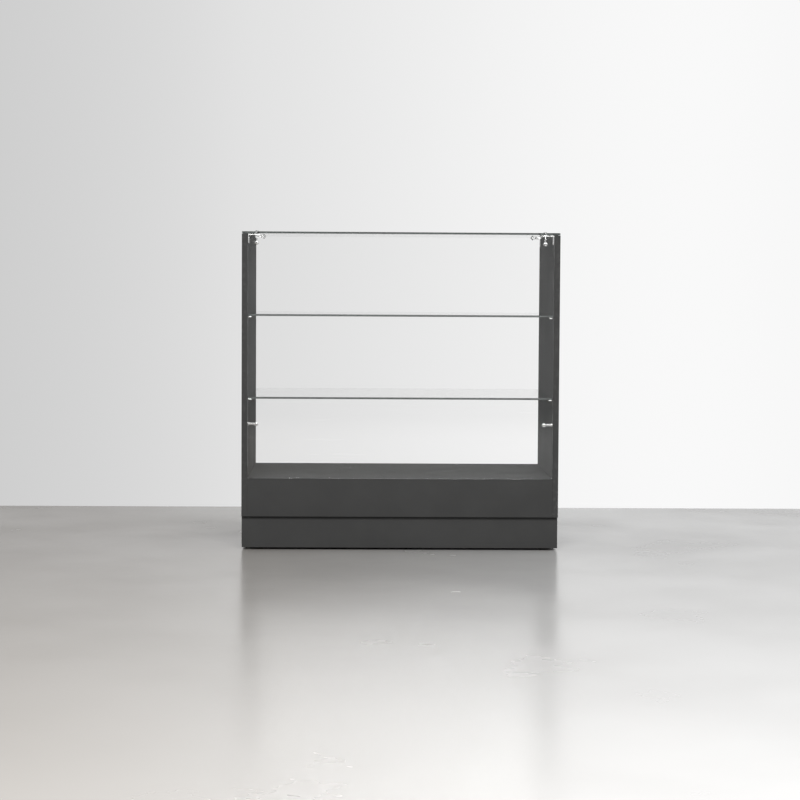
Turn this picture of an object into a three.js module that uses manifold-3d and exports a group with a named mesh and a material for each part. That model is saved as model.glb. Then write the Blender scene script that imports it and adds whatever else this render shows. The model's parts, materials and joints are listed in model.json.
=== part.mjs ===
// Glazed shop counter: a board base on a recessed plinth, two side panels, a glass front, a glass top
// and two glass shelves, open at the back. Millimetres, +Z up, +X right as a customer sees it, +Y to the
// open back. The origin is the centre of the footprint, on the floor.

import * as THREE from "three";
import { mergeVertices } from "three/addons/utils/BufferGeometryUtils.js";
import Module from "manifold-3d";

const wasm = await Module();
wasm.setup();

// ---- Driving dimensions ----

const WIDTH = 1000;
const DEPTH = 600;
const BOARD = 18; // melamine board
const GLASS = 6; // toughened glass
const SEAL = 1; // seal strip and setting pad thickness
const FLOOR_GAP = 8; // plinth to floor
const PLINTH_HEIGHT = 100;
const PLINTH_RECESS = 18;
const BASE_HEIGHT = 120; // closed box under the display space
const SIDE_HEIGHT = 890; // side panel
const SHELF_UNDERSIDES = { lower: 479, upper: 740 }; // above the floor

// ---- Planes that follow from them ----

const FRONT = -DEPTH / 2;
const BACK = DEPTH / 2;
const OUTER = WIDTH / 2;
const INNER = OUTER - BOARD; // inner face of a side panel
const BODY_BOTTOM = FLOOR_GAP + PLINTH_HEIGHT;
const DECK_TOP = BODY_BOTTOM + BASE_HEIGHT; // floor of the display space
const PANEL_TOP = BODY_BOTTOM + SIDE_HEIGHT;
const TOP_UNDERSIDE = PANEL_TOP + SEAL; // lower face of the glass top
const HEIGHT = TOP_UNDERSIDE + GLASS;

// ---- Glazing ----

const SEAL_WIDTH = 8;
const SEAL_END_GAP = 20; // seal strip to the panel's front and back edges
const PANE_SIDE_GAP = 1; // front glass to side panel
const FRONT_GLASS_INSET = 3.5; // front plane to the front glass
const FRONT_GLASS_INNER = FRONT + FRONT_GLASS_INSET + GLASS;
const SHELF_GAP = { front: 18, back: 10, side: 2 };
const SHELF_FRONT = FRONT + SHELF_GAP.front;
const SHELF_BACK = BACK - SHELF_GAP.back;
const ARRIS = 0.8; // ground edge of every pane
const SETTING_PAD = { length: 40, x: 300 };

// ---- Fittings ----

const CLEAR = 0.5; // washer or air between a fitting and the glass
const EYE_FROM_PANEL = 28.5; // bracket eyes to the panel's inner face
const BRACKET = { plate: 3.5, eyeRadius: 6, boreRadius: 2.7 };
const TOP_PLATE = { depth: 24, height: 30, screwAboveFoot: 9 };
const REAR_PLATE_INSET = 34; // rear bracket to the panel's back edge
const ARM_WIDTH = 12;
const FRONT_ARM_THICKNESS = 6.5;
const PAD_WIDTH = 24; // square pad round the screw of a front arm
const DROP = { width: 4, rootBelowTop: 1, eyeBelowGlass: 29 }; // strip that hangs from a pad
const LOW_EYE_Z = 400;
const LOW_BAR_WIDTH = 7;
const LOW_PLATE = { depth: 26, height: 10, screwFromEnd: 9 };
const GLASS_SCREW = { headRadius: 6, headHeight: 2.8, shankRadius: 2.5, holeRadius: 4 };
const GLASS_SCREW_DOME = { edge: 0.7, shoulderRadius: 5.3, shoulder: 2, crownRadius: 3.7 };
const SOCKET = { radius: 2, depth: 1.6 };
const REAR_SCREW_SHOWS = 3.5; // below the arm
const WALL_SCREW = { headRadius: 3.8, shankRadius: 1.75, length: 15, coneHeight: 2.2, sides: 12 };
const WALL_SCREW_TIP = { radius: 0.7, length: 3 };
const WALL_SCREW_RECESS = { radius: 1.1, depth: 1 };
const HIDDEN_GAP = 0.15; // radial air round anything that sits in a drilled hole

// ---- Shelf pins, dowels, feet ----

const PIN = {
  shankRadius: 2.5,
  inPanel: 10,
  reach: 10,
  bodyRadius: 3.3,
  collarRadius: 4.4,
  collar: 1,
  endChamfer: 0.8,
};
const PIN_FROM_CENTRE = 244;
const DOWEL = { radius: 4, length: 30, inPanel: 10, y: 200 };
const FOOT = { padRadius: 18, padEase: 1, padRim: 2.2, padHeight: 4.6, hubRadius: 9, stemRadius: 4, top: 48 };
const BLOCK = { side: 44, top: 50, boreRadius: 4.3 };

const ROUND = 16; // sides of a screw, pin or bore
const OVERRUN = 1; // how far a cutter runs past the face that it cuts

// ---- Materials ----

const standard = (color, roughness, metalness = 0) =>
  new THREE.MeshStandardMaterial({ color, roughness, metalness });
const glassy = () =>
  new THREE.MeshStandardMaterial({ color: 0xdbe6e2, roughness: 0.05, transparent: true, opacity: 0.3 });
const MATERIALS = {
  melamine: () => standard(0x47484a, 0.55),
  glass: glassy,
  nickel: () => standard(0xc9c7c2, 0.22, 1),
  rubber: () => standard(0x1b1b1c, 0.8),
  plastic: () => standard(0x1e1f20, 0.5),
  wood: () => standard(0xc2a578, 0.7),
};

const counter = new THREE.Group();
counter.name = "glazed_shop_counter";

function place(name, geometry, material, position = [0, 0, 0], rotation = [0, 0, 0]) {
  const mesh = new THREE.Mesh(geometry, MATERIALS[material]());
  mesh.name = name;
  mesh.position.set(...position);
  mesh.rotation.set(...rotation);
  counter.add(mesh);
}

// ---- Shape helpers ----

const SIDES = [
  { word: "left", sign: -1 },
  { word: "right", sign: 1 },
];

// A box from its lowest corner to its highest.
function block(low, high) {
  const size = high.map((value, i) => value - low[i]);
  const centre = high.map((value, i) => (value + low[i]) / 2);
  return new THREE.BoxGeometry(...size).translate(...centre);
}

// A cylinder from a start point along one axis.
function rod(start, axis, length, radius, sides = ROUND) {
  const geometry = new THREE.CylinderGeometry(radius, radius, length, sides).translate(0, length / 2, 0);
  if (axis === "x") geometry.rotateZ(-Math.PI / 2);
  if (axis === "z") geometry.rotateX(Math.PI / 2);
  return geometry.translate(...start);
}

// A turned piece: [radius, height] points from axis to axis, its height along +Z.
function turned(profile, sides = ROUND) {
  const points = profile.map(([radius, height]) => new THREE.Vector2(radius, height));
  return new THREE.LatheGeometry(points, sides).rotateX(Math.PI / 2);
}

// A strip of one width along X from 0 to reach, its far end a round eye, extruded up +Z. A strip as wide
// as its eye stays a hair narrower, so that its sides still meet the arc at two clear points.
function eyeStrip(reach, width, eyeRadius, thickness) {
  const half = Math.min(width / 2, 0.999 * eyeRadius);
  const meet = Math.asin(half / eyeRadius);
  const outline = new THREE.Shape();
  outline.moveTo(0, -half);
  outline.lineTo(reach - eyeRadius * Math.cos(meet), -half);
  outline.absarc(reach, 0, eyeRadius, Math.PI + meet, 3 * Math.PI - meet, false);
  outline.lineTo(0, half);
  return new THREE.ExtrudeGeometry(outline, { depth: thickness, bevelEnabled: false, curveSegments: 12 });
}

// A pane in the XY plane, centred, with a ground arris all round, its lower face at z = 0.
function pane(width, depth) {
  const outline = new THREE.Shape();
  outline.moveTo(-width / 2, -depth / 2);
  outline.lineTo(width / 2, -depth / 2);
  outline.lineTo(width / 2, depth / 2);
  outline.lineTo(-width / 2, depth / 2);
  const ground = { bevelThickness: ARRIS, bevelSize: ARRIS, bevelOffset: -ARRIS, bevelSegments: 1 };
  const options = { depth: GLASS - 2 * ARRIS, bevelEnabled: true, ...ground };
  return new THREE.ExtrudeGeometry(outline, options).translate(0, 0, ARRIS);
}

function toSolid(geometry) {
  const bare = geometry.index ? geometry.toNonIndexed() : geometry.clone();
  bare.deleteAttribute("normal");
  bare.deleteAttribute("uv");
  const merged = mergeVertices(bare, 1e-3);
  return new wasm.Manifold(
    new wasm.Mesh({
      numProp: 3,
      vertProperties: merged.attributes.position.array,
      triVerts: new Uint32Array(merged.index.array),
    }),
  );
}

// Joins the solids of `keep`, then cuts the solids of `holes` out of them.
function shaped(keep, holes = []) {
  let solid = keep.map(toSolid).reduce((a, b) => a.add(b));
  for (const hole of holes) solid = solid.subtract(toSolid(hole));
  const mesh = solid.getMesh();
  const geometry = new THREE.BufferGeometry();
  geometry.setAttribute("position", new THREE.BufferAttribute(mesh.vertProperties, 3));
  geometry.setIndex(new THREE.BufferAttribute(mesh.triVerts, 1));
  geometry.computeVertexNormals();
  return geometry;
}

// ---- Where the fittings stand ----

const FRONT_METAL = FRONT_GLASS_INNER + CLEAR; // front face of the metal behind the front glass
const TOP_METAL = TOP_UNDERSIDE - CLEAR; // upper face of the metal under the glass top
const EYE_X = INNER - EYE_FROM_PANEL;
const DROP_EYE_Z = TOP_UNDERSIDE - DROP.eyeBelowGlass;
const TOP_CORNERS = [
  { word: "front", plateFront: FRONT_METAL, armThickness: FRONT_ARM_THICKNESS },
  { word: "rear", plateFront: BACK - REAR_PLATE_INSET - TOP_PLATE.depth, armThickness: BRACKET.plate },
];
for (const corner of TOP_CORNERS) corner.middleY = corner.plateFront + TOP_PLATE.depth / 2;
const TOP_WALL_SCREW_Z = TOP_METAL - TOP_PLATE.height + TOP_PLATE.screwAboveFoot;
const LOW_WALL_SCREW_Y = FRONT_METAL + LOW_PLATE.depth - LOW_PLATE.screwFromEnd;

// ---- Carcass ----

function pinPlaces() {
  const places = [];
  for (const [level, underside] of Object.entries(SHELF_UNDERSIDES)) {
    const z = underside - PIN.bodyRadius;
    places.push({ level, end: "front", y: -PIN_FROM_CENTRE, z });
    places.push({ level, end: "rear", y: PIN_FROM_CENTRE, z });
  }
  return places;
}

// A side panel with the holes that its pins, dowels and wall screws sit in.
function sidePanel(sign) {
  const low = sign > 0 ? INNER : -OUTER;
  const board = block([low, FRONT, BODY_BOTTOM], [low + BOARD, BACK, PANEL_TOP]);
  const drilled = (y, z, radius, depth) => {
    const start = sign > 0 ? INNER - OVERRUN : -INNER - depth;
    return rod([start, y, z], "x", depth + OVERRUN, radius + HIDDEN_GAP);
  };
  const holes = pinPlaces().map(({ y, z }) => drilled(y, z, PIN.shankRadius, PIN.inPanel + CLEAR));
  for (const y of [-DOWEL.y, DOWEL.y])
    holes.push(drilled(y, DECK_TOP - BOARD / 2, DOWEL.radius, DOWEL.inPanel + CLEAR));
  for (const { middleY } of TOP_CORNERS)
    holes.push(drilled(middleY, TOP_WALL_SCREW_Z, WALL_SCREW.shankRadius, WALL_SCREW.length));
  holes.push(drilled(LOW_WALL_SCREW_Y, LOW_EYE_Z, WALL_SCREW.shankRadius, WALL_SCREW.length));
  return shaped([board], holes);
}

function deckBoard() {
  const board = block([-INNER, FRONT + BOARD, DECK_TOP - BOARD], [INNER, BACK - BOARD, DECK_TOP]);
  const depth = DOWEL.length - DOWEL.inPanel + CLEAR;
  const holes = [];
  for (const y of [-DOWEL.y, DOWEL.y])
    for (const start of [-INNER - OVERRUN, INNER - depth])
      holes.push(rod([start, y, DECK_TOP - BOARD / 2], "x", depth + OVERRUN, DOWEL.radius + HIDDEN_GAP));
  return shaped([board], holes);
}

function buildCarcass() {
  for (const { word, sign } of SIDES) place(`side_panel_${word}`, sidePanel(sign), "melamine");
  place("deck_board", deckBoard(), "melamine");
  const bottomFront = [-INNER, FRONT + BOARD, BODY_BOTTOM];
  place("bottom_board", block(bottomFront, [INNER, BACK - BOARD, BODY_BOTTOM + BOARD]), "melamine");
  place("front_board", block([-INNER, FRONT, BODY_BOTTOM], [INNER, FRONT + BOARD, DECK_TOP]), "melamine");
  place("rear_board", block([-INNER, BACK - BOARD, BODY_BOTTOM], [INNER, BACK, DECK_TOP]), "melamine");
  for (const { word, sign } of SIDES)
    for (const [end, y] of [["front", -DOWEL.y], ["rear", DOWEL.y]]) {
      const start = sign > 0 ? INNER + DOWEL.inPanel - DOWEL.length : -INNER - DOWEL.inPanel;
      const pin = rod([start, y, DECK_TOP - BOARD / 2], "x", DOWEL.length, DOWEL.radius);
      place(`deck_dowel_${end}_${word}`, pin, "wood");
    }
}

// ---- Plinth and feet ----

const PLINTH_FRONT = FRONT + PLINTH_RECESS;
const PLINTH_BACK = BACK - PLINTH_RECESS;

function levellingFoot() {
  const { padRadius, padEase, padRim, padHeight, hubRadius, stemRadius, top } = FOOT;
  return turned([
    [0, 0],
    [padRadius - padEase, 0],
    [padRadius, padEase],
    [padRadius, padRim],
    [hubRadius, padHeight],
    [stemRadius, padHeight],
    [stemRadius, top],
    [0, top],
  ]);
}

function buildPlinth() {
  const across = (low, high) => block([-OUTER, low, FLOOR_GAP], [OUTER, high, BODY_BOTTOM]);
  place("plinth_front", across(PLINTH_FRONT, PLINTH_FRONT + BOARD), "melamine");
  place("plinth_rear", across(PLINTH_BACK - BOARD, PLINTH_BACK), "melamine");
  const insideFront = PLINTH_FRONT + BOARD;
  const insideBack = PLINTH_BACK - BOARD;
  const along = (low) => block([low, insideFront, FLOOR_GAP], [low + BOARD, insideBack, BODY_BOTTOM]);
  place("plinth_side_left", along(-OUTER), "melamine");
  place("plinth_side_right", along(INNER), "melamine");
  place("plinth_stretcher", along(-BOARD / 2), "melamine");

  const half = BLOCK.side / 2;
  for (const { word, sign } of SIDES)
    for (const [end, y] of [["front", insideFront + half], ["rear", insideBack - half]]) {
      const x = sign * (INNER - half);
      const cube = block([x - half, y - half, FLOOR_GAP], [x + half, y + half, BLOCK.top]);
      const bore = rod([x, y, 0], "z", HEIGHT, BLOCK.boreRadius);
      place(`foot_block_${end}_${word}`, shaped([cube], [bore]), "wood");
      place(`levelling_foot_${end}_${word}`, levellingFoot(), "plastic", [x, y, 0]);
    }
}

// ---- Glass, seals and setting pads ----

// The glass top has a hole over each of its four brackets.
function glassTop() {
  const holes = [];
  const under = TOP_UNDERSIDE - OVERRUN;
  for (const { middleY } of TOP_CORNERS)
    for (const { sign } of SIDES)
      holes.push(rod([sign * EYE_X, middleY, under], "z", GLASS + 2 * OVERRUN, GLASS_SCREW.holeRadius));
  return shaped([pane(WIDTH, DEPTH).translate(0, 0, TOP_UNDERSIDE)], holes);
}

// The front glass stands on its setting pads and has a hole in front of each bracket eye.
function frontGlass() {
  const bottom = DECK_TOP + SEAL;
  const upright = pane(2 * (INNER - PANE_SIDE_GAP), PANEL_TOP - bottom).rotateX(Math.PI / 2);
  upright.translate(0, FRONT_GLASS_INNER, (bottom + PANEL_TOP) / 2);
  const drill = (x, z) => rod([x, FRONT, z], "y", 2 * GLASS, GLASS_SCREW.holeRadius);
  const holes = SIDES.flatMap(({ sign }) => [
    drill(sign * EYE_X, DROP_EYE_Z),
    drill(sign * EYE_X, LOW_EYE_Z),
  ]);
  return shaped([upright], holes);
}

function buildGlazing() {
  place("glass_top", glassTop(), "glass");
  place("front_glass", frontGlass(), "glass");
  const shelfCentre = (SHELF_FRONT + SHELF_BACK) / 2;
  for (const [level, underside] of Object.entries(SHELF_UNDERSIDES)) {
    const shelf = pane(2 * (INNER - SHELF_GAP.side), SHELF_BACK - SHELF_FRONT);
    place(`shelf_${level}`, shelf, "glass", [0, shelfCentre, underside]);
  }
  for (const { word, sign } of SIDES) {
    const middle = sign * (INNER + BOARD / 2);
    const sealLow = [middle - SEAL_WIDTH / 2, FRONT + SEAL_END_GAP, PANEL_TOP];
    const sealHigh = [middle + SEAL_WIDTH / 2, BACK - SEAL_END_GAP, TOP_UNDERSIDE];
    place(`glass_top_seal_${word}`, block(sealLow, sealHigh), "rubber");
    const padX = sign * SETTING_PAD.x - SETTING_PAD.length / 2;
    const padLow = [padX, FRONT_GLASS_INNER - GLASS, DECK_TOP];
    const padHigh = [padX + SETTING_PAD.length, FRONT_GLASS_INNER, DECK_TOP + SEAL];
    place(`setting_pad_${word}`, block(padLow, padHigh), "rubber");
  }
}

// ---- Brackets, built for the right side and turned about for the left ----

// A countersunk hole through a panel plate.
function countersink(y, z) {
  const { headRadius, shankRadius, coneHeight } = WALL_SCREW;
  const neck = shankRadius + HIDDEN_GAP;
  const mouth = headRadius + HIDDEN_GAP;
  const cutter = turned([
    [0, -OVERRUN],
    [mouth, -OVERRUN],
    [mouth, 0],
    [neck, coneHeight],
    [neck, BRACKET.plate + OVERRUN],
    [0, BRACKET.plate + OVERRUN],
  ]);
  return cutter.rotateY(Math.PI / 2).translate(INNER - BRACKET.plate, y, z);
}

// A plate on the panel's inner face.
const panelPlate = (y, z, depth, height) =>
  block([INNER - BRACKET.plate, y, z], [INNER, y + depth, z + height]);

// The arm under the glass top, from the panel to its round end.
function topArm(middleY, thickness) {
  const strip = eyeStrip(EYE_FROM_PANEL, ARM_WIDTH, ARM_WIDTH / 2, thickness);
  return strip.rotateZ(Math.PI).translate(INNER, middleY, TOP_METAL - thickness);
}

// A front bracket's arm carries a square pad round the screw and a strip that hangs from the pad.
function topBracket({ plateFront, middleY, armThickness }, hasDrop) {
  const plateLow = TOP_METAL - TOP_PLATE.height;
  const plate = panelPlate(plateFront, plateLow, TOP_PLATE.depth, TOP_PLATE.height);
  const keep = [plate, topArm(middleY, armThickness)];
  const holes = [
    countersink(middleY, TOP_WALL_SCREW_Z),
    rod([EYE_X, middleY, DROP_EYE_Z], "z", DROP.eyeBelowGlass, BRACKET.boreRadius),
  ];
  if (hasDrop) {
    const padLow = [EYE_X - PAD_WIDTH / 2, plateFront, TOP_METAL - armThickness];
    keep.push(block(padLow, [EYE_X + PAD_WIDTH / 2, plateFront + TOP_PLATE.depth, TOP_METAL]));
    const root = TOP_METAL - DROP.rootBelowTop;
    const drop = eyeStrip(root - DROP_EYE_Z, DROP.width, BRACKET.eyeRadius, BRACKET.plate);
    drop.rotateY(Math.PI / 2).rotateZ(Math.PI / 2);
    keep.push(drop.translate(EYE_X, plateFront, root));
    holes.push(eyeBore(DROP_EYE_Z));
  }
  return shaped(keep, holes);
}

// The hole for a front screw, through metal that stands just behind the front glass.
const eyeBore = (z) => rod([EYE_X, FRONT, z], "y", 2 * TOP_PLATE.depth, BRACKET.boreRadius);

function lowBracket() {
  const plateLow = LOW_EYE_Z - LOW_PLATE.height / 2;
  const bar = eyeStrip(EYE_FROM_PANEL, LOW_BAR_WIDTH, BRACKET.eyeRadius, BRACKET.plate);
  bar.rotateZ(Math.PI).rotateX(-Math.PI / 2);
  bar.translate(INNER, FRONT_METAL, LOW_EYE_Z);
  const keep = [panelPlate(FRONT_METAL, plateLow, LOW_PLATE.depth, LOW_PLATE.height), bar];
  return shaped(keep, [countersink(LOW_WALL_SCREW_Y, LOW_EYE_Z), eyeBore(LOW_EYE_Z)]);
}

// A button-head screw, head up: its head's underside is at z = 0 and its shank goes down.
function glassScrew(shankLength) {
  const { headRadius, headHeight, shankRadius } = GLASS_SCREW;
  const { edge, shoulderRadius, shoulder, crownRadius } = GLASS_SCREW_DOME;
  return turned([
    [0, -shankLength],
    [shankRadius, -shankLength],
    [shankRadius, 0],
    [headRadius, 0],
    [headRadius, edge],
    [shoulderRadius, shoulder],
    [crownRadius, headHeight],
    [SOCKET.radius, headHeight],
    [SOCKET.radius, headHeight - SOCKET.depth],
    [0, headHeight - SOCKET.depth],
  ]);
}

// A countersunk wood screw, head up: its head's face is at z = 0 and its shank goes down.
function wallScrew() {
  const { headRadius, shankRadius, length, coneHeight, sides } = WALL_SCREW;
  const profile = [
    [0, -length],
    [WALL_SCREW_TIP.radius, -length],
    [shankRadius, WALL_SCREW_TIP.length - length],
    [shankRadius, -coneHeight],
    [headRadius, 0],
    [WALL_SCREW_RECESS.radius, 0],
    [0, -WALL_SCREW_RECESS.depth],
  ];
  return turned(profile, sides);
}

// Turns a right-hand solid about the counter's middle plane.
function mirrored(geometry) {
  const turnedOver = geometry.clone().scale(-1, 1, 1);
  const order = turnedOver.index.array;
  for (let i = 0; i < order.length; i += 3) [order[i + 1], order[i + 2]] = [order[i + 2], order[i + 1]];
  turnedOver.computeVertexNormals();
  return turnedOver;
}

const handed = (geometry, sign) => (sign > 0 ? geometry : mirrored(geometry));

function buildFittings() {
  const throughTop = CLEAR + GLASS + CLEAR;
  const throughFront = CLEAR + GLASS + CLEAR + BRACKET.plate;
  const outerFace = FRONT_GLASS_INNER - GLASS - CLEAR; // where a front screw's head sits
  for (const { word, sign } of SIDES) {
    for (const corner of TOP_CORNERS) {
      const isFront = corner.word === "front";
      const name = `top_${corner.word}_bracket_${word}`;
      place(name, handed(topBracket(corner, isFront), sign), "nickel");
      const screw = glassScrew(throughTop + corner.armThickness + (isFront ? 0 : REAR_SCREW_SHOWS));
      const screwAt = [sign * EYE_X, corner.middleY, HEIGHT + CLEAR];
      place(`top_glass_screw_${corner.word}_${word}`, screw, "nickel", screwAt);
      const wallAt = [sign * (INNER - BRACKET.plate), corner.middleY, TOP_WALL_SCREW_Z];
      const wallName = `wall_screw_top_${corner.word}_${word}`;
      place(wallName, wallScrew(), "nickel", wallAt, [0, (-sign * Math.PI) / 2, 0]);
    }
    const towardFront = [Math.PI / 2, 0, 0];
    const dropAt = [sign * EYE_X, outerFace, DROP_EYE_Z];
    place(`front_glass_screw_top_${word}`, glassScrew(throughFront), "nickel", dropAt, towardFront);
    const lowAt = [sign * EYE_X, outerFace, LOW_EYE_Z];
    place(`front_glass_screw_low_${word}`, glassScrew(throughFront), "nickel", lowAt, towardFront);
    place(`low_front_bracket_${word}`, handed(lowBracket(), sign), "nickel");
    const lowWallAt = [sign * (INNER - BRACKET.plate), LOW_WALL_SCREW_Y, LOW_EYE_Z];
    place(`wall_screw_low_${word}`, wallScrew(), "nickel", lowWallAt, [0, (-sign * Math.PI) / 2, 0]);
  }
}

// ---- Shelf pins ----

// Along +Z: the shank that sits in the panel, a collar on its face, then the body under the shelf.
function shelfPin() {
  const { shankRadius, inPanel, reach, bodyRadius, collarRadius, collar, endChamfer } = PIN;
  return turned([
    [0, -inPanel],
    [shankRadius, -inPanel],
    [shankRadius, 0],
    [collarRadius, 0],
    [collarRadius, collar],
    [bodyRadius, collar],
    [bodyRadius, reach - endChamfer],
    [bodyRadius - endChamfer, reach],
    [0, reach],
  ]);
}

function buildShelfPins() {
  for (const { word, sign } of SIDES)
    for (const { level, end, y, z } of pinPlaces()) {
      const turn = [0, (-sign * Math.PI) / 2, 0];
      place(`shelf_pin_${level}_${end}_${word}`, shelfPin(), "nickel", [sign * INNER, y, z], turn);
    }
}

buildCarcass();
buildPlinth();
buildGlazing();
buildFittings();
buildShelfPins();

export default counter;
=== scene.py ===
"""Looks of a glazed shop counter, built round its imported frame.

Metres, +Z up, +X right as a customer sees it, +Y to the open back, origin on the floor at the centre
of the footprint. The counter's places come from the frame's boxes; only small details have sizes here.
"""

import json
import math

import bmesh
import bpy
from mathutils import Matrix, Vector


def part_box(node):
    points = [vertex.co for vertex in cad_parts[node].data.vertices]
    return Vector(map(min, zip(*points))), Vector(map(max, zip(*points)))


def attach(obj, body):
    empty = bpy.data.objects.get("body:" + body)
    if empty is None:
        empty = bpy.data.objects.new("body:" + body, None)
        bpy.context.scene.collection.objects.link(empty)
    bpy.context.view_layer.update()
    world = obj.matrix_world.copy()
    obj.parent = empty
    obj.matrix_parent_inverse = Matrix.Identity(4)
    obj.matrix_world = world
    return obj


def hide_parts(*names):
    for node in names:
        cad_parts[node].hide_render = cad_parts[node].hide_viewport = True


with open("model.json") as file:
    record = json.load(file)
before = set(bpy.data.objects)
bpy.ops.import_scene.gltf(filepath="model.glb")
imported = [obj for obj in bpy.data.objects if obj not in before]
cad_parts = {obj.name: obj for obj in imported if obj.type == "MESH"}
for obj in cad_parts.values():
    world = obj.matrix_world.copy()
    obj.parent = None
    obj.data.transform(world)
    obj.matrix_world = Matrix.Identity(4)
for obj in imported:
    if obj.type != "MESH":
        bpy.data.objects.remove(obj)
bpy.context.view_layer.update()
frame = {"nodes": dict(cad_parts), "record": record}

MM = 0.001
X, Y, Z = 0, 1, 2
SIDES = ("left", "right")
ENDS = ("front", "rear")
LEVELS = ("lower", "upper")

# ---- Camera: where the photographer stood ----

CAMERA_PLACE = (-0.1317, -7.3635, 0.8655)
CAMERA_LENS_MM = 101.1
CAMERA_YAW = math.radians(1.056)  # towards +X
CAMERA_PITCH = math.radians(3.14)  # down
CAMERA_ROLL = math.radians(0.333)

# ---- Lamp: high, so that the front glass doesn't mirror it into the camera ----

LAMP_PLACE = (0.2, -5.8, 3.0)
LAMP_TARGET = (0, 0, 0.3)
LAMP_SIZE = (5.0, 1.8)
LAMP_WATTS = 330

# ---- Small details, in metres ----

BOARD_EASE = 0.5 * MM  # rounding of a board's banded edges
BAND = 1.0 * MM  # edge band thickness
PANE_CORNER = {"glass_top": 5 * MM, "front_glass": 2 * MM, "shelf_lower": 3 * MM, "shelf_upper": 3 * MM}
ARRIS = {"glass_top": 0.5 * MM, "front_glass": 0.2 * MM, "shelf_lower": 0.5 * MM, "shelf_upper": 0.5 * MM}
GLASS_HOLE = 4 * MM  # radius of a screw's hole
OVERRUN = 1 * MM  # how far a cutter runs past the face that it cuts
ROUND = 48  # sides of a turned piece

# ---- Mesh helpers ----


def box_of(node):
    """A node's lowest corner, highest corner, centre and size."""
    low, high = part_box(node)
    return low, high, (low + high) / 2, high - low


def thin_axis(size):
    return min(range(3), key=lambda axis: size[axis])


def mesh_from(bm, name, smooth_angle=30):
    """Turns a bmesh into a mesh that is smooth except at its corners."""
    bmesh.ops.recalc_face_normals(bm, faces=bm.faces)
    mesh = bpy.data.meshes.new(name)
    bm.to_mesh(mesh)
    bm.free()
    mesh.shade_smooth()
    mesh.set_sharp_from_angle(angle=math.radians(smooth_angle))
    return mesh


def add_piece(name, mesh, materials, body, replaces=(), matrix=None):
    """Puts a mesh in the scene as a piece of the object. A washer isn't in the record and passes no slot."""
    piece = bpy.data.objects.new(name, mesh)
    bpy.context.scene.collection.objects.link(piece)
    if matrix is not None:
        piece.matrix_world = matrix
    if not mesh.materials:
        for material in materials:
            mesh.materials.append(material)
    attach(piece, body)
    if replaces:
        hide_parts(*replaces)
    return piece


def eased_box(low, high, ease, segments=3):
    """A closed box with rounded edges."""
    bm = bmesh.new()
    size = high - low
    bmesh.ops.create_cube(bm, size=1)
    bmesh.ops.scale(bm, vec=size, verts=bm.verts)
    bmesh.ops.translate(bm, vec=(low + high) / 2, verts=bm.verts)
    bmesh.ops.bevel(bm, geom=bm.edges, offset=ease, segments=segments, profile=0.5, affect="EDGES")
    return bm


def rounded_rectangle(width, height, radius, steps=6):
    """The outline of a rectangle with round corners, centred, anticlockwise."""
    points = []
    corners = [(1, -1, -90), (1, 1, 0), (-1, 1, 90), (-1, -1, 180)]
    for sign_x, sign_y, start in corners:
        centre = Vector((sign_x * (width / 2 - radius), sign_y * (height / 2 - radius)))
        for step in range(steps + 1):
            angle = math.radians(start + 90 * step / steps)
            points.append(centre + radius * Vector((math.cos(angle), math.sin(angle))))
    return points


def circle(centre, radius, steps=ROUND):
    turn = 2 * math.pi / steps
    return [Vector(centre) + radius * Vector((math.cos(turn * i), math.sin(turn * i))) for i in range(steps)]


def eye_outline(reach, width, eye_radius, steps=28):
    """A strip along +X from 0 whose far end is a round eye."""
    half = width / 2
    meet = math.asin(half / eye_radius)
    points = [Vector((0, -half))]
    for step in range(steps + 1):
        angle = -math.pi + meet + (2 * math.pi - 2 * meet) * step / steps
        points.append(Vector((reach + eye_radius * math.cos(angle), eye_radius * math.sin(angle))))
    points.append(Vector((0, half)))
    return points


def plate(outline, holes, thickness, chamfer, chamfer_steps=0):
    """A flat plate from an outline with holes in it, lying on z = 0, every rim chamfered. Returns a bmesh."""
    curve = bpy.data.curves.new("outline", "CURVE")
    curve.dimensions = "2D"
    curve.fill_mode = "BOTH"
    curve.extrude = thickness / 2 - chamfer
    curve.bevel_depth = chamfer
    curve.bevel_resolution = chamfer_steps
    curve.offset = -chamfer
    for loop in [outline, *holes]:
        spline = curve.splines.new("POLY")
        spline.points.add(len(loop) - 1)
        for point, place in zip(spline.points, loop):
            point.co = (place.x, place.y, 0, 1)
        spline.use_cyclic_u = True
    shape = bpy.data.objects.new("outline", curve)
    bpy.context.scene.collection.objects.link(shape)
    evaluated = shape.evaluated_get(bpy.context.evaluated_depsgraph_get())
    mesh = bpy.data.meshes.new_from_object(evaluated)
    bm = bmesh.new()
    bm.from_mesh(mesh)
    bmesh.ops.remove_doubles(bm, verts=bm.verts, dist=1e-6)
    bmesh.ops.translate(bm, vec=(0, 0, thickness / 2), verts=bm.verts)
    bpy.data.objects.remove(shape)
    bpy.data.curves.remove(curve)
    bpy.data.meshes.remove(mesh)
    return bm


def turned(profile, steps=ROUND):
    """A solid of revolution about Z from (radius, height) points that start and end on the axis."""
    bm = bmesh.new()
    rings = []
    for radius, height in profile:
        if radius < 1e-9:
            rings.append([bm.verts.new((0, 0, height))])
            continue
        rings.append([bm.verts.new((p.x, p.y, height)) for p in circle((0, 0), radius, steps)])
    for lower, upper in zip(rings, rings[1:]):
        for i in range(steps):
            here = (lower[i % len(lower)], upper[i % len(upper)])
            beside = (lower[(i + 1) % steps % len(lower)], upper[(i + 1) % steps % len(upper)])
            corners = list(dict.fromkeys([here[0], beside[0], beside[1], here[1]]))
            if len(corners) > 2:
                bm.faces.new(corners)
    return bm


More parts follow.
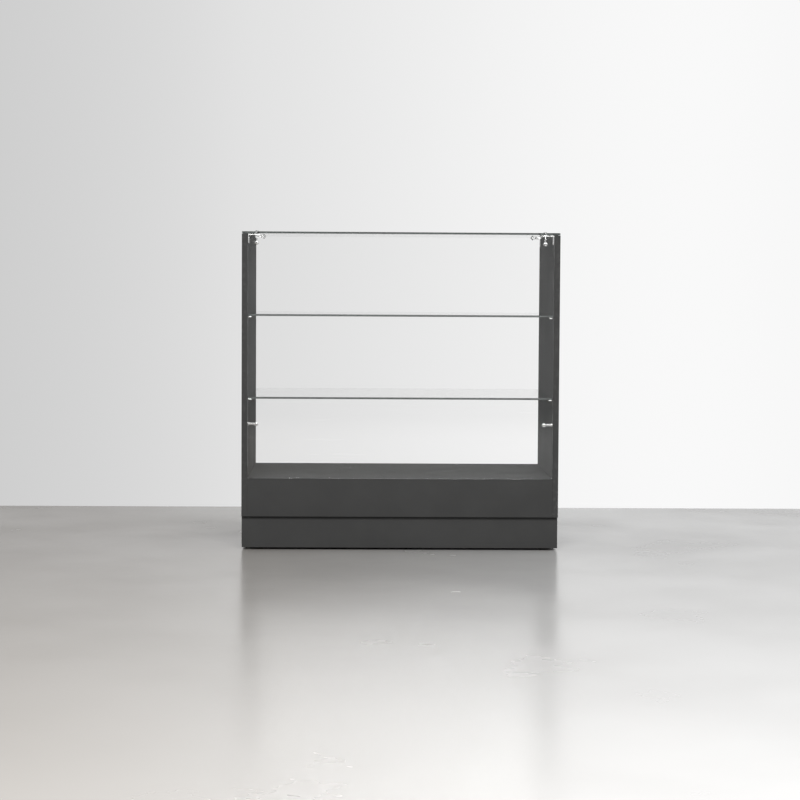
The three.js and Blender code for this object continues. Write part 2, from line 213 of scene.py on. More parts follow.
def rounded_profile(points, radius, steps=3):
    """Eases the corners of a profile that don't lie on the axis."""
    eased = [Vector(points[0])]
    for before, at, after in zip(points, points[1:], points[2:]):
        before, at, after = Vector(before), Vector(at), Vector(after)
        reach = min(radius, (before - at).length * 0.45, (after - at).length * 0.45)
        start = at + (before - at).normalized() * reach
        end = at + (after - at).normalized() * reach
        for step in range(steps + 1):
            t = step / steps
            eased.append(start * (1 - t) ** 2 + at * (2 * t * (1 - t)) + end * t**2)
    eased.append(Vector(points[-1]))
    return [(max(p.x, 0.0), p.y) for p in eased]


def boolean(bm, other, operation):
    """Joins another closed bmesh to this one, or cuts it out. Returns a new bmesh."""
    solids = []
    for source in (bm, other):
        bmesh.ops.recalc_face_normals(source, faces=source.faces)
        mesh = bpy.data.meshes.new("solid")
        source.to_mesh(mesh)
        source.free()
        solid = bpy.data.objects.new("solid", mesh)
        bpy.context.scene.collection.objects.link(solid)
        solids.append(solid)
    modifier = solids[0].modifiers.new("cut", "BOOLEAN")
    modifier.object = solids[1]
    modifier.operation = operation
    modifier.solver = "EXACT"
    evaluated = solids[0].evaluated_get(bpy.context.evaluated_depsgraph_get())
    mesh = bpy.data.meshes.new_from_object(evaluated)
    result = bmesh.new()
    result.from_mesh(mesh)
    bpy.data.meshes.remove(mesh)
    for solid in solids:
        data = solid.data
        bpy.data.objects.remove(solid)
        bpy.data.meshes.remove(data)
    return result


def move(bm, matrix):
    """Moves, turns or mirrors a bmesh, and returns it."""
    bmesh.ops.transform(bm, matrix=matrix, verts=bm.verts)
    return bm


# ---- Node helpers ----


class Shader:
    """A material's node tree, with short ways to add and join nodes."""

    def __init__(self, name):
        self.material = bpy.data.materials.new(name)
        self.material.use_nodes = True
        self.tree = self.material.node_tree
        self.tree.nodes.clear()
        self.output = self.tree.nodes.new("ShaderNodeOutputMaterial")

    def put(self, socket, value):
        """Links a socket to another, or sets its value."""
        if isinstance(value, bpy.types.NodeSocket):
            self.tree.links.new(value, socket)
        else:
            socket.default_value = value

    def add(self, kind, inputs=None, **settings):
        node = self.tree.nodes.new(kind)
        for key, value in settings.items():
            setattr(node, key, value)
        for key, value in (inputs or {}).items():
            self.put(node.inputs[key], value)
        return node

    def maths(self, operation, *values):
        node = self.tree.nodes.new("ShaderNodeMath")
        node.operation = operation
        for socket, value in zip(node.inputs, values):
            self.put(socket, value)
        return node.outputs[0]

    def place(self):
        """Position on the piece, in metres."""
        return self.add("ShaderNodeTexCoord").outputs["Object"]

    def noise(self, scale, detail=2.0, roughness=0.5, stretch=None):
        vector = self.place()
        if stretch is not None:
            vector = self.add("ShaderNodeMapping", {"Vector": vector, "Scale": stretch}).outputs[0]
        inputs = {"Vector": vector, "Scale": scale, "Detail": detail, "Roughness": roughness}
        return self.add("ShaderNodeTexNoise", inputs).outputs["Fac"]

    def ramp(self, value, low, high, to_low=0.0, to_high=1.0):
        """Maps low..high to to_low..to_high, with soft ends."""
        inputs = {"Value": value, 1: low, 2: high, 3: to_low, 4: to_high}
        return self.add("ShaderNodeMapRange", inputs, interpolation_type="SMOOTHSTEP").outputs[0]

    def blend(self, share, first, second):
        """Mixes two colours."""
        node = self.add("ShaderNodeMix", data_type="RGBA")
        self.put(node.inputs["Factor"], share)
        self.put(node.inputs["A"], first)
        self.put(node.inputs["B"], second)
        return node.outputs["Result"]

    def bump(self, height, distance, strength=1.0, under=None):
        inputs = {"Height": height, "Distance": distance, "Strength": strength}
        if under is not None:
            inputs["Normal"] = under
        return self.add("ShaderNodeBump", inputs).outputs[0]

    def finish(self, inputs):
        surface = self.add("ShaderNodeBsdfPrincipled", inputs)
        self.tree.links.new(surface.outputs[0], self.output.inputs["Surface"])
        return self.material


def shade(colour, factor):
    return (colour[0] * factor, colour[1] * factor, colour[2] * factor, 1)


# ---- Materials ----

CHARCOAL = (0.0470, 0.0470, 0.0465)


def melamine(name, size, centre):
    """Charcoal melamine-faced board: a fine pearl texture, faint mottling and handling marks.

    The narrow sides carry an edge band, smoother than the faces, whose glue line shows as a hair line
    one band's thickness in from the rim.
    """
    s = Shader(name)
    thin = thin_axis(size)
    wide = [axis for axis in (X, Y, Z) if axis != thin]
    offset = s.add("ShaderNodeVectorMath", {0: s.place(), 1: tuple(centre)}, operation="SUBTRACT").outputs[0]
    apart = s.add("ShaderNodeSeparateXYZ", {0: offset}).outputs
    rim = [s.maths("SUBTRACT", size[axis] / 2, s.maths("ABSOLUTE", apart[axis])) for axis in (X, Y, Z)]
    to_rim = s.maths("MINIMUM", rim[wide[0]], rim[wide[1]])
    on_face = s.ramp(rim[thin], 0.2 * MM, 0.4 * MM, 1, 0)
    on_band = s.ramp(to_rim, 0.3 * MM, 0.5 * MM, 1, 0)
    from_line = s.maths("ABSOLUTE", s.maths("SUBTRACT", to_rim, BAND))
    glue_line = s.maths("MULTIPLY", s.ramp(from_line, 0.05 * MM, 0.15 * MM, 1, 0), on_face)

    mottle = s.noise(9, 3, 0.55)
    speckle = s.noise(1400, 2, 0.6)
    marks = s.ramp(s.noise(5, 5, 0.62, stretch=(1, 1, 0.45)), 0.52, 0.72)
    wear = s.maths("MULTIPLY", s.ramp(to_rim, 0, 2.5 * MM, 1, 0), s.ramp(s.noise(70, 3, 0.6), 0.5, 0.68))

    colour = s.blend(s.ramp(mottle, 0.3, 0.7), shade(CHARCOAL, 0.95), shade(CHARCOAL, 1.06))
    colour = s.blend(s.ramp(speckle, 0.35, 0.7, 0, 0.5), colour, shade(CHARCOAL, 1.35))
    colour = s.blend(s.maths("MULTIPLY", wear, 0.35), colour, shade(CHARCOAL, 2.0))
    colour = s.blend(s.maths("MULTIPLY", glue_line, 0.55), colour, shade(CHARCOAL, 0.35))

    rough = s.ramp(mottle, 0.3, 0.7, 0.72, 0.78)
    rough = s.maths("SUBTRACT", rough, s.maths("MULTIPLY", marks, 0.07))
    rough = s.maths("SUBTRACT", rough, s.maths("MULTIPLY", on_band, 0.08))

    grain = s.noise(620, 2, 0.5)
    off_band = s.maths("SUBTRACT", 1, s.maths("MULTIPLY", on_band, 0.6))
    pearl = s.maths("MULTIPLY", grain, off_band)
    relief = s.maths("SUBTRACT", pearl, s.maths("MULTIPLY", glue_line, 1.5))
    normal = s.bump(relief, 0.06 * MM, 0.7)
    wave = s.bump(s.noise(14, 1), 0.08 * MM, 0.5, normal)
    inputs = {"Base Color": colour, "Roughness": rough, "Normal": wave, "Specular IOR Level": 0.02}
    return s.finish(inputs)


def float_glass(name, axis):
    """Clear float glass: polished faces and edges, a finely ground arris, and the green that shows along it.

    Rays from lamps pass straight through, so that what stands behind the panes is lit.
    """
    s = Shader(name)
    normal = s.add("ShaderNodeNewGeometry").outputs["Normal"]
    facing = s.maths("ABSOLUTE", s.add("ShaderNodeSeparateXYZ", {0: normal}).outputs[axis])
    slant = s.maths("MULTIPLY", s.ramp(facing, 0.15, 0.35), s.ramp(facing, 0.9, 0.98, 1, 0))
    smears = s.ramp(s.noise(6, 4, 0.6), 0.5, 0.8, 0.0, 0.012)
    rough = s.maths("ADD", s.maths("MULTIPLY", slant, 0.15), smears)
    glass = s.add(
        "ShaderNodeBsdfPrincipled",
        {"Base Color": (1, 1, 1, 1), "Roughness": rough, "IOR": 1.52, "Transmission Weight": 1.0},
    )
    clear = s.add("ShaderNodeBsdfTransparent", {"Color": (0.93, 0.95, 0.945, 1)})
    from_lamp = s.add("ShaderNodeLightPath").outputs["Is Shadow Ray"]
    both = s.add("ShaderNodeMixShader", {0: from_lamp, 1: glass.outputs[0], 2: clear.outputs[0]})
    s.tree.links.new(both.outputs[0], s.output.inputs["Surface"])
    tint = s.add("ShaderNodeVolumeAbsorption", {"Color": (0.36, 0.395, 0.38, 1), "Density": 4.8})
    s.tree.links.new(tint.outputs[0], s.output.inputs["Volume"])
    return s.material


def polished_nickel():
    """Bright nickel plate over a cast bracket: a soft cast wave, polishing haze and a few fine lines."""
    s = Shader("polished_nickel")
    haze = s.noise(160, 4, 0.6)
    lines = s.noise(900, 2, 0.6, stretch=(1, 0.08, 1))
    colour = s.blend(s.ramp(haze, 0.3, 0.7), (0.72, 0.718, 0.712, 1), (0.80, 0.798, 0.792, 1))
    rough = s.maths("ADD", s.ramp(haze, 0.3, 0.75, 0.04, 0.09), s.ramp(lines, 0.55, 0.75, 0, 0.06))
    normal = s.bump(s.noise(260, 2), 0.04 * MM, 0.5)
    return s.finish({"Base Color": colour, "Metallic": 1.0, "Roughness": rough, "Normal": normal})


def black_rubber():
    s = Shader("black_rubber")
    grain = s.noise(900, 3, 0.6)
    colour = s.blend(s.ramp(grain, 0.35, 0.7), (0.012, 0.012, 0.013, 1), (0.028, 0.028, 0.030, 1))
    rough = s.ramp(grain, 0.3, 0.7, 0.62, 0.82)
    return s.finish({"Base Color": colour, "Roughness": rough, "Normal": s.bump(grain, 0.05 * MM, 0.6)})


def black_plastic():
    """Moulded foot plastic with a spark-eroded texture and dust in it."""
    s = Shader("black_plastic")
    grain = s.noise(1100, 2, 0.6)
    dust = s.ramp(s.noise(40, 4, 0.6), 0.5, 0.75, 0, 0.35)
    colour = s.blend(dust, (0.016, 0.016, 0.017, 1), (0.055, 0.053, 0.050, 1))
    rough = s.ramp(grain, 0.3, 0.7, 0.42, 0.6)
    return s.finish({"Base Color": colour, "Roughness": rough, "Normal": s.bump(grain, 0.05 * MM, 0.5)})


def clear_vinyl():
    s = Shader("clear_vinyl")
    cloud = s.noise(300, 3, 0.6)
    colour = s.blend(s.ramp(cloud, 0.3, 0.7), (0.80, 0.83, 0.83, 1), (0.90, 0.91, 0.90, 1))
    rough = s.ramp(cloud, 0.3, 0.7, 0.25, 0.40)
    inputs = {"Base Color": colour, "Roughness": rough, "IOR": 1.45, "Transmission Weight": 0.7}
    return s.finish(inputs)


def raw_birch(name, grain_axis):
    """Sawn birch: long grain along one axis, fine pores and a dry surface."""
    s = Shader(name)
    stretch = [60.0, 60.0, 60.0]
    stretch[grain_axis] = 4.0
    rings = s.noise(3.0, 4, 0.55, stretch=tuple(stretch))
    pores = s.noise(22.0, 2, 0.6, stretch=tuple(stretch))
    colour = s.blend(s.ramp(rings, 0.3, 0.7), (0.62, 0.45, 0.27, 1), (0.42, 0.27, 0.14, 1))
    colour = s.blend(s.ramp(pores, 0.6, 0.75, 0, 0.5), colour, (0.25, 0.15, 0.08, 1))
    rough = s.ramp(rings, 0.3, 0.7, 0.55, 0.72)
    return s.finish({"Base Color": colour, "Roughness": rough, "Normal": s.bump(pores, 0.1 * MM, 0.5)})


def studio_floor():
    """A pale sealed floor that mirrors softly at a low angle, with painted shade that darkens it towards the
    left, where its tone is also warmer.
    """
    s = Shader("studio_floor")
    side = s.add("ShaderNodeSeparateXYZ", {0: s.place()}).outputs["X"]
    cloud = s.noise(1.6, 5, 0.6)
    grit = s.noise(90, 3, 0.6)
    # Painted shade: the floor's colour runs from a darker, warmer grey at the left to a paler grey at the
    # right, standing in for less light falling on the left.
    colour = s.blend(s.ramp(side, -1.3, 0.8), (0.40, 0.370, 0.336, 1), (0.66, 0.656, 0.65, 1))
    colour = s.blend(s.ramp(cloud, 0.3, 0.7, 0.0, 0.12), colour, (0.30, 0.29, 0.28, 1))
    rough = s.ramp(cloud, 0.3, 0.7, 0.20, 0.28)
    normal = s.bump(grit, 0.1 * MM, 0.2)
    return s.finish({"Base Color": colour, "Roughness": rough, "Normal": normal, "IOR": 1.55})


GLASS_BY_AXIS = {axis: float_glass(f"float_glass_{'xyz'[axis]}", axis) for axis in (Y, Z)}
NICKEL = polished_nickel()
RUBBER = black_rubber()
PLASTIC = black_plastic()
VINYL = clear_vinyl()
BIRCH_ALONG = {X: raw_birch("raw_birch_x", X), Z: raw_birch("raw_birch_z", Z)}

# ---- Boards ----


def nodes_in(slot):
    return sorted(row["node"] for row in frame["record"]["subparts"] if row["material_slot"] == slot)


def build_boards():
    """Every melamine board, with eased and banded edges."""
    for node in nodes_in("melamine"):
        low, high, centre, size = box_of(node)
        mesh = mesh_from(eased_box(low, high, BOARD_EASE), node)
        look = melamine(f"melamine_{node}", size, centre)
        add_piece(f"{node}_faced", mesh, [look], "root", [node])


# ---- Glass ----

PANE_SCREWS = {"glass_top": "top_glass_screw_", "front_glass": "front_glass_screw_"}


def holes_through(node, axis, centre):
    """Centres of the screw holes in a pane, in the pane's own plane. The shelves have none."""
    if node not in PANE_SCREWS:
        return []
    screws = [name for name in nodes_in("nickel") if name.startswith(PANE_SCREWS[node])]
    plane = [a for a in (X, Y, Z) if a != axis]
    middles = [box_of(name)[2] - centre for name in screws]
    return [Vector((m[plane[0]], m[plane[1]])) for m in middles]


def build_panes():
    """The glass top, the front glass and the shelves, each with an arris all round."""
    for node in nodes_in("glass"):
        _, _, centre, size = box_of(node)
        axis = thin_axis(size)
        across, up = (size[a] for a in (X, Y, Z) if a != axis)
        outline = rounded_rectangle(across, up, PANE_CORNER[node])
        holes = [circle(place, GLASS_HOLE, 24) for place in holes_through(node, axis, centre)]
        bm = plate(outline, holes, size[axis], ARRIS[node])
        move(bm, Matrix.Translation((0, 0, -size[axis] / 2)))
        if axis == Y:
            move(bm, Matrix.Rotation(math.pi / 2, 4, "X"))
        move(bm, Matrix.Translation(centre))
        body = f"{node}_body" if node.startswith("shelf") else "root"
        add_piece(f"{node}_pane", mesh_from(bm, node), [GLASS_BY_AXIS[axis]], body, [node])


# ---- Fittings ----

METAL_EASE = 0.5 * MM
ARM_EASE = 2.8 * MM  # a front arm and its pad
BAR_EASE = 1.4 * MM  # a rear arm and a low bar
LEG_CORNER = 2 * MM
PAD_CORNER = 2.5 * MM
BORE = 2.7 * MM  # radius of a bracket's screw hole
ARM_SHARE = 0.999  # of its eye's width, so that an arm's sides still meet the arc
STRIP_WIDE = 4 * MM  # strip that hangs from a pad
LOW_LEG_TALL = 10 * MM
LOW_BAR_TALL = 7 * MM
COUNTERSINK = {"mouth": 4 * MM, "neck": 1.9 * MM, "deep": 2.2 * MM}  # two radii and a depth


def metal_plate(outline, thickness, ease=METAL_EASE):
    return plate(outline, [], thickness, ease, 3)


def drilled(bm, place, along_y=False):
    """Cuts a screw's hole through a bracket, along Z or along Y."""
    reach = 4 * ARM_EASE
    cutter = turned([(0, -reach), (BORE, -reach), (BORE, reach), (0, reach)], 24)
    if along_y:
        move(cutter, Matrix.Rotation(math.pi / 2, 4, "X"))
    move(cutter, Matrix.Translation(place))
    return boolean(bm, cutter, "DIFFERENCE")


def panel_leg(wall_screw, low, high, depth, height):
    """The leg screwed to a right-hand panel, its foot at `low`, its panel face at high.x, countersunk."""
    screw_low, _, screw, _ = box_of(wall_screw)
    thick = high.x - screw_low.x
    bm = metal_plate(rounded_rectangle(depth, height, LEG_CORNER), thick)
    to_panel = Matrix.Rotation(math.pi / 2, 4, "Z") @ Matrix.Rotation(math.pi / 2, 4, "X")
    move(bm, Matrix.Translation((screw_low.x, low.y + depth / 2, low.z + height / 2)) @ to_panel)
    mouth, neck, deep = COUNTERSINK["mouth"], COUNTERSINK["neck"], COUNTERSINK["deep"]
    through = thick + OVERRUN
    cone = [(0, -OVERRUN), (mouth, -OVERRUN), (mouth, 0), (neck, deep), (neck, through), (0, through)]
    cutter = turned(cone)
    move(cutter, Matrix.Translation((screw_low.x, screw.y, screw.z)) @ Matrix.Rotation(math.pi / 2, 4, "Y"))
    return boolean(bm, cutter, "DIFFERENCE")


def top_bracket(end):
    """The right-hand bracket at a top corner: a leg and an arm under the glass top.

    In front, the arm ends in a square pad, and a strip hangs from the pad to an eye behind the front glass.
    The rear bracket's box is its leg's and its arm's, so all four brackets take those sizes from it.
    """
    low, high, _, _ = box_of(f"top_{end}_bracket_right")
    rear_low, _, _, leg_size = box_of("top_rear_bracket_right")
    rear_screw = box_of("top_glass_screw_rear_right")[2]
    screw = box_of(f"top_glass_screw_{end}_right")[2]
    wall_screw = f"wall_screw_top_{end}_right"
    foot = Vector((low.x, low.y, high.z - leg_size.z))
    leg = panel_leg(wall_screw, foot, high, leg_size.y, leg_size.z)

    is_front = end == "front"
    if is_front:
        thick, ease = high.z - box_of("top_glass_screw_front_right")[0].z, ARM_EASE
    else:
        thick, ease = high.x - box_of(wall_screw)[0].x, BAR_EASE
    wide = 2 * (rear_screw.x - rear_low.x)
    arm = metal_plate(eye_outline(high.x - screw.x, wide * ARM_SHARE, wide / 2), thick, ease)
    move(arm, Matrix.Translation((high.x, screw.y, high.z - thick)) @ Matrix.Rotation(math.pi, 4, "Z"))
    whole = boolean(leg, arm, "UNION")
    if not is_front:
        return drilled(whole, (screw.x, screw.y, high.z))

    pad = metal_plate(rounded_rectangle(2 * (screw.x - low.x), leg_size.y, PAD_CORNER), thick, ease)
    move(pad, Matrix.Translation((screw.x, screw.y, high.z - thick)))
    whole = drilled(boolean(whole, pad, "UNION"), (screw.x, screw.y, high.z))

    _, eye_end, eye, _ = box_of("front_glass_screw_top_right")
    root = high.z - thick / 2
    strip = metal_plate(eye_outline(root - eye.z, STRIP_WIDE, eye.z - low.z), eye_end.y - low.y)
    downward = Matrix.Rotation(math.pi / 2, 4, "Z") @ Matrix.Rotation(math.pi / 2, 4, "Y")
    move(strip, Matrix.Translation((screw.x, low.y, root)) @ downward)
    return drilled(boolean(whole, strip, "UNION"), (screw.x, low.y, eye.z), along_y=True)


def low_bracket():
    """The right-hand bracket low on the front glass: panel leg and a bar to its eye."""
    low, high, middle, size = box_of("low_front_bracket_right")
    _, screw_end, screw, _ = box_of("front_glass_screw_low_right")
    foot = Vector((low.x, low.y, middle.z - LOW_LEG_TALL / 2))
    leg = panel_leg("wall_screw_low_right", foot, high, size.y, LOW_LEG_TALL)
    outline = eye_outline(high.x - screw.x, LOW_BAR_TALL, size.z / 2)
    bar = metal_plate(outline, screw_end.y - low.y, BAR_EASE)
    backward = Matrix.Rotation(-math.pi / 2, 4, "X") @ Matrix.Rotation(math.pi, 4, "Z")
    move(bar, Matrix.Translation((high.x, low.y, middle.z)) @ backward)
    return drilled(boolean(leg, bar, "UNION"), (screw.x, low.y, middle.z), along_y=True)


def build_brackets():
    """Each bracket is made for the right-hand side and mirrored for the left."""
    kinds = [(f"top_{end}_bracket", lambda end=end: top_bracket(end)) for end in ENDS]
    kinds.append(("low_front_bracket", low_bracket))
    for name, make in kinds:
        for side in SIDES:
            bm = make()
            if side == "left":
                move(bm, Matrix.Scale(-1, 4, (1, 0, 0)))
            node = f"{name}_{side}"
            add_piece(f"{node}_plated", mesh_from(bm, name), [NICKEL], "root", [node])


# ---- Screws and washers ----

# "in" and "up" are the two legs of a chamfer.
BUTTON_HEAD = 6 * MM  # radius
BUTTON_TALL = 2.8 * MM
BUTTON_DOME = ((6, 0.7), (5.75, 1.35), (5.1, 2.05), (4.2, 2.55), (3.2, 2.8))  # radius and height, mm
BUTTON_SHANK = 2.5 * MM  # radius
BUTTON_TIP = {"in": 0.4 * MM, "up": 0.5 * MM}
BUTTON_RIM = {"in": 0.3 * MM, "up": 0.25 * MM}
SOCKET_ACROSS = 4 * MM  # over the flats of the hexagon
SOCKET_DEPTH = 1.6 * MM
WASHER = {"thick": 0.5 * MM, "outer": 6.4 * MM, "inner": 2.8 * MM, "chamfer": 0.1 * MM}
WOOD_SCREW = {"head": 3.8 * MM, "body": 1.75 * MM, "long": 15 * MM, "cone": 2.2 * MM}
WOOD_RIM = {"in": 0.1 * MM, "up": 0.25 * MM}
WOOD_THREAD = {"turns": 9, "pitch": 1.1 * MM, "from_tip": 1.5 * MM, "root": 0.62}  # root: share of the body
WOOD_NECK = {"share": 0.8, "below_face": 3 * MM}
CROSS = {"reach": 2.1 * MM, "half": 0.35 * MM, "deep": 1.4 * MM, "ease": 0.1 * MM}  # arms of the recess


def button_screw(shank):
    """A button-head screw, head up from z = 0, with a hexagon socket."""
    outline = [
        (0, -shank),
        (BUTTON_SHANK - BUTTON_TIP["in"], -shank),
        (BUTTON_SHANK, BUTTON_TIP["up"] - shank),
        (BUTTON_SHANK, 0),
        (BUTTON_HEAD - BUTTON_RIM["in"], 0),
        (BUTTON_HEAD, BUTTON_RIM["up"]),
    ]
    outline += [(radius * MM, height * MM) for radius, height in BUTTON_DOME]
    outline.append((0, BUTTON_TALL))
    corner = SOCKET_ACROSS / math.sqrt(3)
    floor, above = BUTTON_TALL - SOCKET_DEPTH, BUTTON_TALL + OVERRUN
    socket = turned([(0, floor), (corner, floor), (corner, above), (0, above)], 6)
    return boolean(turned(outline), socket, "DIFFERENCE")


def washer():
    """The clear washer between a screw's head, or a bracket's eye, and the glass."""
    hole = circle((0, 0), WASHER["inner"], 24)
    bm = plate(circle((0, 0), WASHER["outer"]), [hole], WASHER["thick"], WASHER["chamfer"])
    return mesh_from(bm, "washer")


def add_glass_screw(node, shank, seat, upright):
    """A screw whose head stands on `seat`, turned from head-up by `upright`."""
    mesh = mesh_from(button_screw(shank), node)
    place = Matrix.Translation(seat) @ upright
    add_piece(f"{node}_bright", mesh, [NICKEL], "root", [node], place)


def build_glass_screws():
    """The screws through the glass, each with a washer on both sides of the pane."""
    ring = washer()
    top_low, top_high, _, _ = box_of("glass_top")
    front_low, front_high, _, _ = box_of("front_glass")
    head_up = Matrix.Identity(4)
    head_forward = Matrix.Rotation(math.pi / 2, 4, "X")
    for side in SIDES:
        for end in ENDS:
            node = f"top_glass_screw_{end}_{side}"
            low, high, middle, _ = box_of(node)
            seat = Vector((middle.x, middle.y, high.z - BUTTON_TALL))
            add_glass_screw(node, seat.z - low.z, seat, head_up)
            for word, z in (("over", top_high.z), ("under", top_low.z - WASHER["thick"])):
                at = Matrix.Translation((middle.x, middle.y, z))
                add_piece(f"washer_{word}_{node}", ring, [VINYL], "root", matrix=at)
        for word in ("top", "low"):
            node = f"front_glass_screw_{word}_{side}"
            low, high, middle, _ = box_of(node)
            seat = Vector((middle.x, low.y + BUTTON_TALL, middle.z))
            add_glass_screw(node, high.y - seat.y, seat, head_forward)
            for place, y in (("outer", front_low.y), ("inner", front_high.y + WASHER["thick"])):
                at = Matrix.Translation((middle.x, y, middle.z)) @ head_forward
                add_piece(f"washer_{place}_{node}", ring, [VINYL], "root", matrix=at)


def wood_screw():
    """A countersunk wood screw, head up, its face at z = 0, with a cross recess and a thread."""
    head, body = WOOD_SCREW["head"], WOOD_SCREW["body"]
    pitch = WOOD_THREAD["pitch"]
    outline = [(0, -WOOD_SCREW["long"])]
    for i in range(WOOD_THREAD["turns"]):
        z = WOOD_THREAD["from_tip"] - WOOD_SCREW["long"] + i * pitch
        outline += [(body * WOOD_THREAD["root"], z), (body, z + pitch / 2)]
    neck = body * WOOD_NECK["share"]
    outline += [(neck, -WOOD_NECK["below_face"]), (neck, -WOOD_SCREW["cone"])]
    outline += [(head, -WOOD_RIM["up"]), (head - WOOD_RIM["in"], 0), (0, 0)]
    screw = turned(outline, 32)
    low = Vector((-CROSS["reach"], -CROSS["half"], -CROSS["deep"]))
    high = Vector((CROSS["reach"], CROSS["half"], OVERRUN))
    for angle in (math.pi / 4, 3 * math.pi / 4):
        arm = move(eased_box(low, high, CROSS["ease"], 1), Matrix.Rotation(angle, 4, "Z"))
        screw = boolean(screw, arm, "DIFFERENCE")
    return screw


def against_panel(node, side, depth):
    """Where a piece goes that points into the case with `depth` of it, from its outer end, below z = 0."""
    sign = 1 if side == "right" else -1
    low, high, middle, _ = box_of(node)
    outer_end = high.x if sign > 0 else low.x
    place = Matrix.Translation((outer_end - sign * depth, middle.y, middle.z))
    return place @ Matrix.Rotation(-sign * math.pi / 2, 4, "Y")


def build_wall_screws():
    mesh = mesh_from(wood_screw(), "wall_screw")
    for side in SIDES:
        for word in ("top_front", "top_rear", "low"):
            node = f"wall_screw_{word}_{side}"
            at = against_panel(node, side, box_of(node)[3].x)
            add_piece(f"{node}_bright", mesh, [NICKEL], "root", [node], at)


# ---- Shelf pins ----

PIN = {"shank": 2.5 * MM, "collar": 4.4 * MM, "body": 3.3 * MM, "ease": 0.6 * MM}  # radii
PIN_COLLAR_THICK = 1 * MM
PIN_IN_PANEL = 10 * MM
PIN_REACH = 10 * MM


def build_shelf_pins():
    """Turned pins: a shank in the panel, a thin collar on its face and a body with an eased end."""
    shank, collar, body = PIN["shank"], PIN["collar"], PIN["body"]
    outline = [(0, -PIN_IN_PANEL), (shank, -PIN_IN_PANEL), (shank, 0)]
    outline += [(collar, 0), (collar, PIN_COLLAR_THICK)]
    outline += [(body, PIN_COLLAR_THICK), (body, PIN_REACH), (0, PIN_REACH)]
    mesh = mesh_from(turned(rounded_profile(outline, PIN["ease"])), "shelf_pin")
    for side in SIDES:
        for level in LEVELS:
            for end in ENDS:
                node = f"shelf_pin_{level}_{end}_{side}"
                at = against_panel(node, side, PIN_IN_PANEL)
                add_piece(f"{node}_bright", mesh, [NICKEL], "root", [node], at)


# ---- Seals, pads, feet and the wood inside ----

RUBBER_EASE = 0.3 * MM
FOOT_PAD = {"radius": 18 * MM, "in": 1.5 * MM, "up": 0.8 * MM, "rim": 2.2 * MM}
FOOT_CROWN = {"radius": 11 * MM, "top": 3.4 * MM}
FOOT_STEM = {"radius": 4 * MM, "from": 4.6 * MM, "top": 48 * MM, "thread": 0.55 * MM, "tip": 0.5 * MM}
FOOT_BOSS = {"radius": 7.5 * MM, "foot": 2 * MM, "in": 0.5 * MM, "up": 0.3 * MM}
THREAD_PITCH = 1.25 * MM


def build_seals():
    """The strips under the glass top and the pads under the front glass."""
    for side in SIDES:
        for node in (f"glass_top_seal_{side}", f"setting_pad_{side}"):
            low, high, _, _ = box_of(node)
            mesh = mesh_from(eased_box(low, high, RUBBER_EASE), node)
            add_piece(f"{node}_rubber", mesh, [RUBBER], "root", [node])


def foot_mesh():
    """A levelling foot: a moulded pad with a hexagon boss and a threaded stem."""
    pad, stem, root = FOOT_PAD["radius"], FOOT_STEM["radius"], FOOT_STEM["from"]
    crown, crown_top = FOOT_CROWN["radius"], FOOT_CROWN["top"]
    outline = [(0, 0), (pad - FOOT_PAD["in"], 0), (pad, FOOT_PAD["up"]), (pad, FOOT_PAD["rim"])]
    outline += [(crown, crown_top), (stem, crown_top), (stem, root)]
    for i in range(int((FOOT_STEM["top"] - root) / THREAD_PITCH)):
        z = root + i * THREAD_PITCH
        valley = (stem - FOOT_STEM["thread"], z + THREAD_PITCH * 0.25)
        crest = (stem, z + THREAD_PITCH * 0.75)
        outline += [valley, crest]
    outline += [(stem - FOOT_STEM["tip"], FOOT_STEM["top"]), (0, FOOT_STEM["top"])]

    boss, foot = FOOT_BOSS["radius"], FOOT_BOSS["foot"]
    hexagon = [(0, foot), (boss, foot), (boss, root - FOOT_BOSS["up"])]
    hexagon += [(boss - FOOT_BOSS["in"], root), (0, root)]
    return mesh_from(boolean(turned(outline), turned(hexagon, 6), "UNION"), "levelling_foot")


def build_feet():
    mesh = foot_mesh()
    for side in SIDES:
        for end in ENDS:
            node = f"levelling_foot_{end}_{side}"
            low, high, middle, _ = box_of(node)
            at = Matrix.Translation((middle.x, middle.y, low.z))
            add_piece(f"{node}_moulded", mesh, [PLASTIC], f"{node}_body", [node], at)


def paint_wood():
    """The blocks over the feet and the deck's dowels keep their CAD shapes."""
    for side in SIDES:
        for end in ENDS:
            paint(f"foot_block_{end}_{side}", BIRCH_ALONG[Z])
            paint(f"deck_dowel_{end}_{side}", BIRCH_ALONG[X])


def paint(node, material):
    """Gives a CAD node that stays in view its material."""
    slots = frame["nodes"][node].data.materials
    slots.clear()
    slots.append(material)


# ---- Camera and studio ----


def place_camera():
    data = bpy.data.cameras.new("photographer")
    data.lens = CAMERA_LENS_MM
    data.sensor_width = 36
    data.clip_end = 100
    camera = bpy.data.objects.new("photographer", data)
    bpy.context.scene.collection.objects.link(camera)
    ahead = Vector((
        math.sin(CAMERA_YAW) * math.cos(CAMERA_PITCH),
        math.cos(CAMERA_YAW) * math.cos(CAMERA_PITCH),
        -math.sin(CAMERA_PITCH),
    ))
    level = ahead.to_track_quat("-Z", "Y").to_matrix().to_4x4()
    camera.matrix_world = Matrix.Translation(CAMERA_PLACE) @ level @ Matrix.Rotation(CAMERA_ROLL, 4, "Z")
    bpy.context.scene.camera = camera


FLOOR_REACH = 9
WALL_Y = 1.05  # where the floor ends behind the counter


def lay_floor():
    """The floor runs far to the front and sides and ends where the studio's wall would stand."""
    corners = [(-FLOOR_REACH, -FLOOR_REACH, 0), (FLOOR_REACH, -FLOOR_REACH, 0)]
    corners += [(FLOOR_REACH, WALL_Y, 0), (-FLOOR_REACH, WALL_Y, 0)]
    mesh = bpy.data.meshes.new("floor")
    mesh.from_pydata(corners, [], [(0, 1, 2, 3)])
    floor = bpy.data.objects.new("floor", mesh)
    bpy.context.scene.collection.objects.link(floor)
    mesh.materials.append(studio_floor())


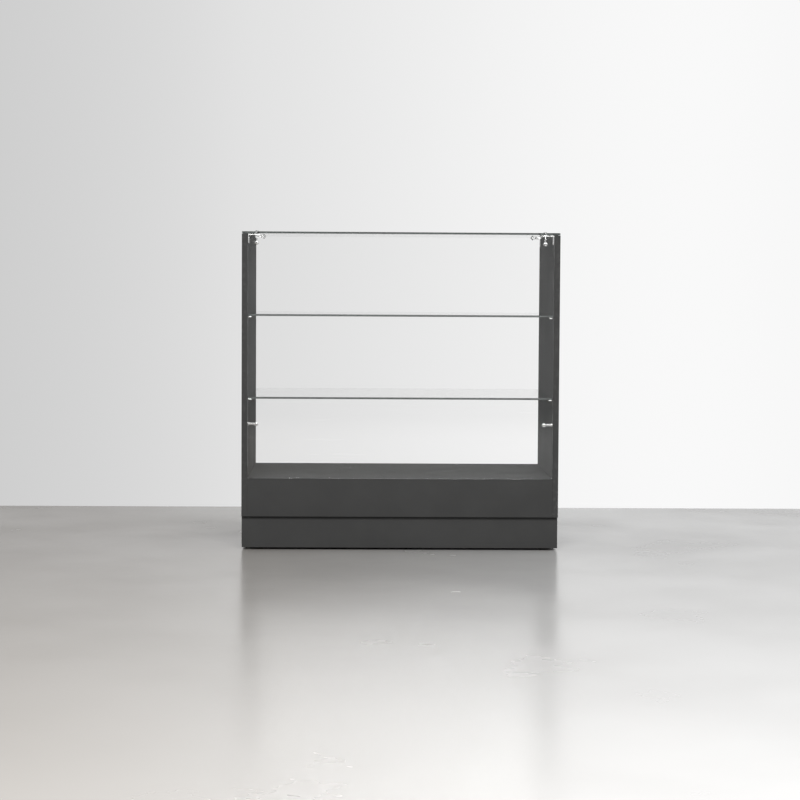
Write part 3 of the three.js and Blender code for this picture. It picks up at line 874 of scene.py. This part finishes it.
# Sideways part of the direction, then its grey: the wall behind the counter is paler to the right.
WALL_GREYS = (
    (-0.7, 0.62),
    (-0.17, 0.61),
    (-0.05, 0.76),
    (0.18, 0.94),
    (0.7, 0.60),
)


class World(Shader):
    """The surround's node tree, built with the same short ways as a material's."""

    def __init__(self, name):
        world = bpy.data.worlds.new(name)
        bpy.context.scene.world = world
        world.use_nodes = True
        self.tree = world.node_tree
        self.tree.nodes.clear()
        self.output = self.tree.nodes.new("ShaderNodeOutputWorld")

    def greys(self, sideways, stops):
        """A grey for each sideways part of the direction, from (part, grey) stops."""
        along = self.add("ShaderNodeMapRange", {"Value": sideways, "From Min": -1})
        node = self.add("ShaderNodeValToRGB", {"Fac": along.outputs[0]})
        node.color_ramp.interpolation = "CARDINAL"
        elements = node.color_ramp.elements
        while len(elements) < len(stops):
            elements.new(0.5)
        for element, (part, grey) in zip(elements, stops):
            element.position = (part + 1) / 2
            element.color = (grey, grey, grey, 1)
        return node.outputs["Color"]


def paint_surround():
    """The wall's greys, dimmed overhead and in front and brightened far to the left and right."""
    w = World("studio")
    toward = w.add("ShaderNodeTexCoord").outputs["Generated"]
    apart = w.add("ShaderNodeSeparateXYZ", {0: toward}).outputs
    overhead = w.ramp(apart["Z"], 0.1, 0.7, 1.0, 0.5)
    behind = w.ramp(apart["Y"], 0.0, 0.9, 0.6, 1.0)
    beside = w.ramp(w.maths("ABSOLUTE", apart["X"]), 0.4, 0.9, 1.0, 2.4)
    strength = w.maths("MULTIPLY", w.maths("MULTIPLY", overhead, behind), beside)
    greys = w.greys(apart["X"], WALL_GREYS)
    back = w.add("ShaderNodeBackground", {"Color": greys, "Strength": strength})
    w.tree.links.new(back.outputs[0], w.output.inputs["Surface"])


def soft_lamp(name, place, target, size, watts):
    data = bpy.data.lights.new(name, "AREA")
    data.shape = "RECTANGLE"
    data.size, data.size_y = size
    data.energy = watts
    lamp = bpy.data.objects.new(name, data)
    bpy.context.scene.collection.objects.link(lamp)
    lamp.location = place
    lamp.rotation_euler = (Vector(target) - Vector(place)).to_track_quat("-Z", "Y").to_euler()


def light_studio():
    """A pale surround and one large soft lamp above and in front."""
    paint_surround()
    soft_lamp("overhead_front", LAMP_PLACE, LAMP_TARGET, LAMP_SIZE, LAMP_WATTS)
    bpy.context.scene.view_settings.view_transform = "Standard"


place_camera()
lay_floor()
light_studio()
build_boards()
build_panes()
build_brackets()
build_glass_screws()
build_wall_screws()
build_shelf_pins()
build_seals()
build_feet()
paint_wood()
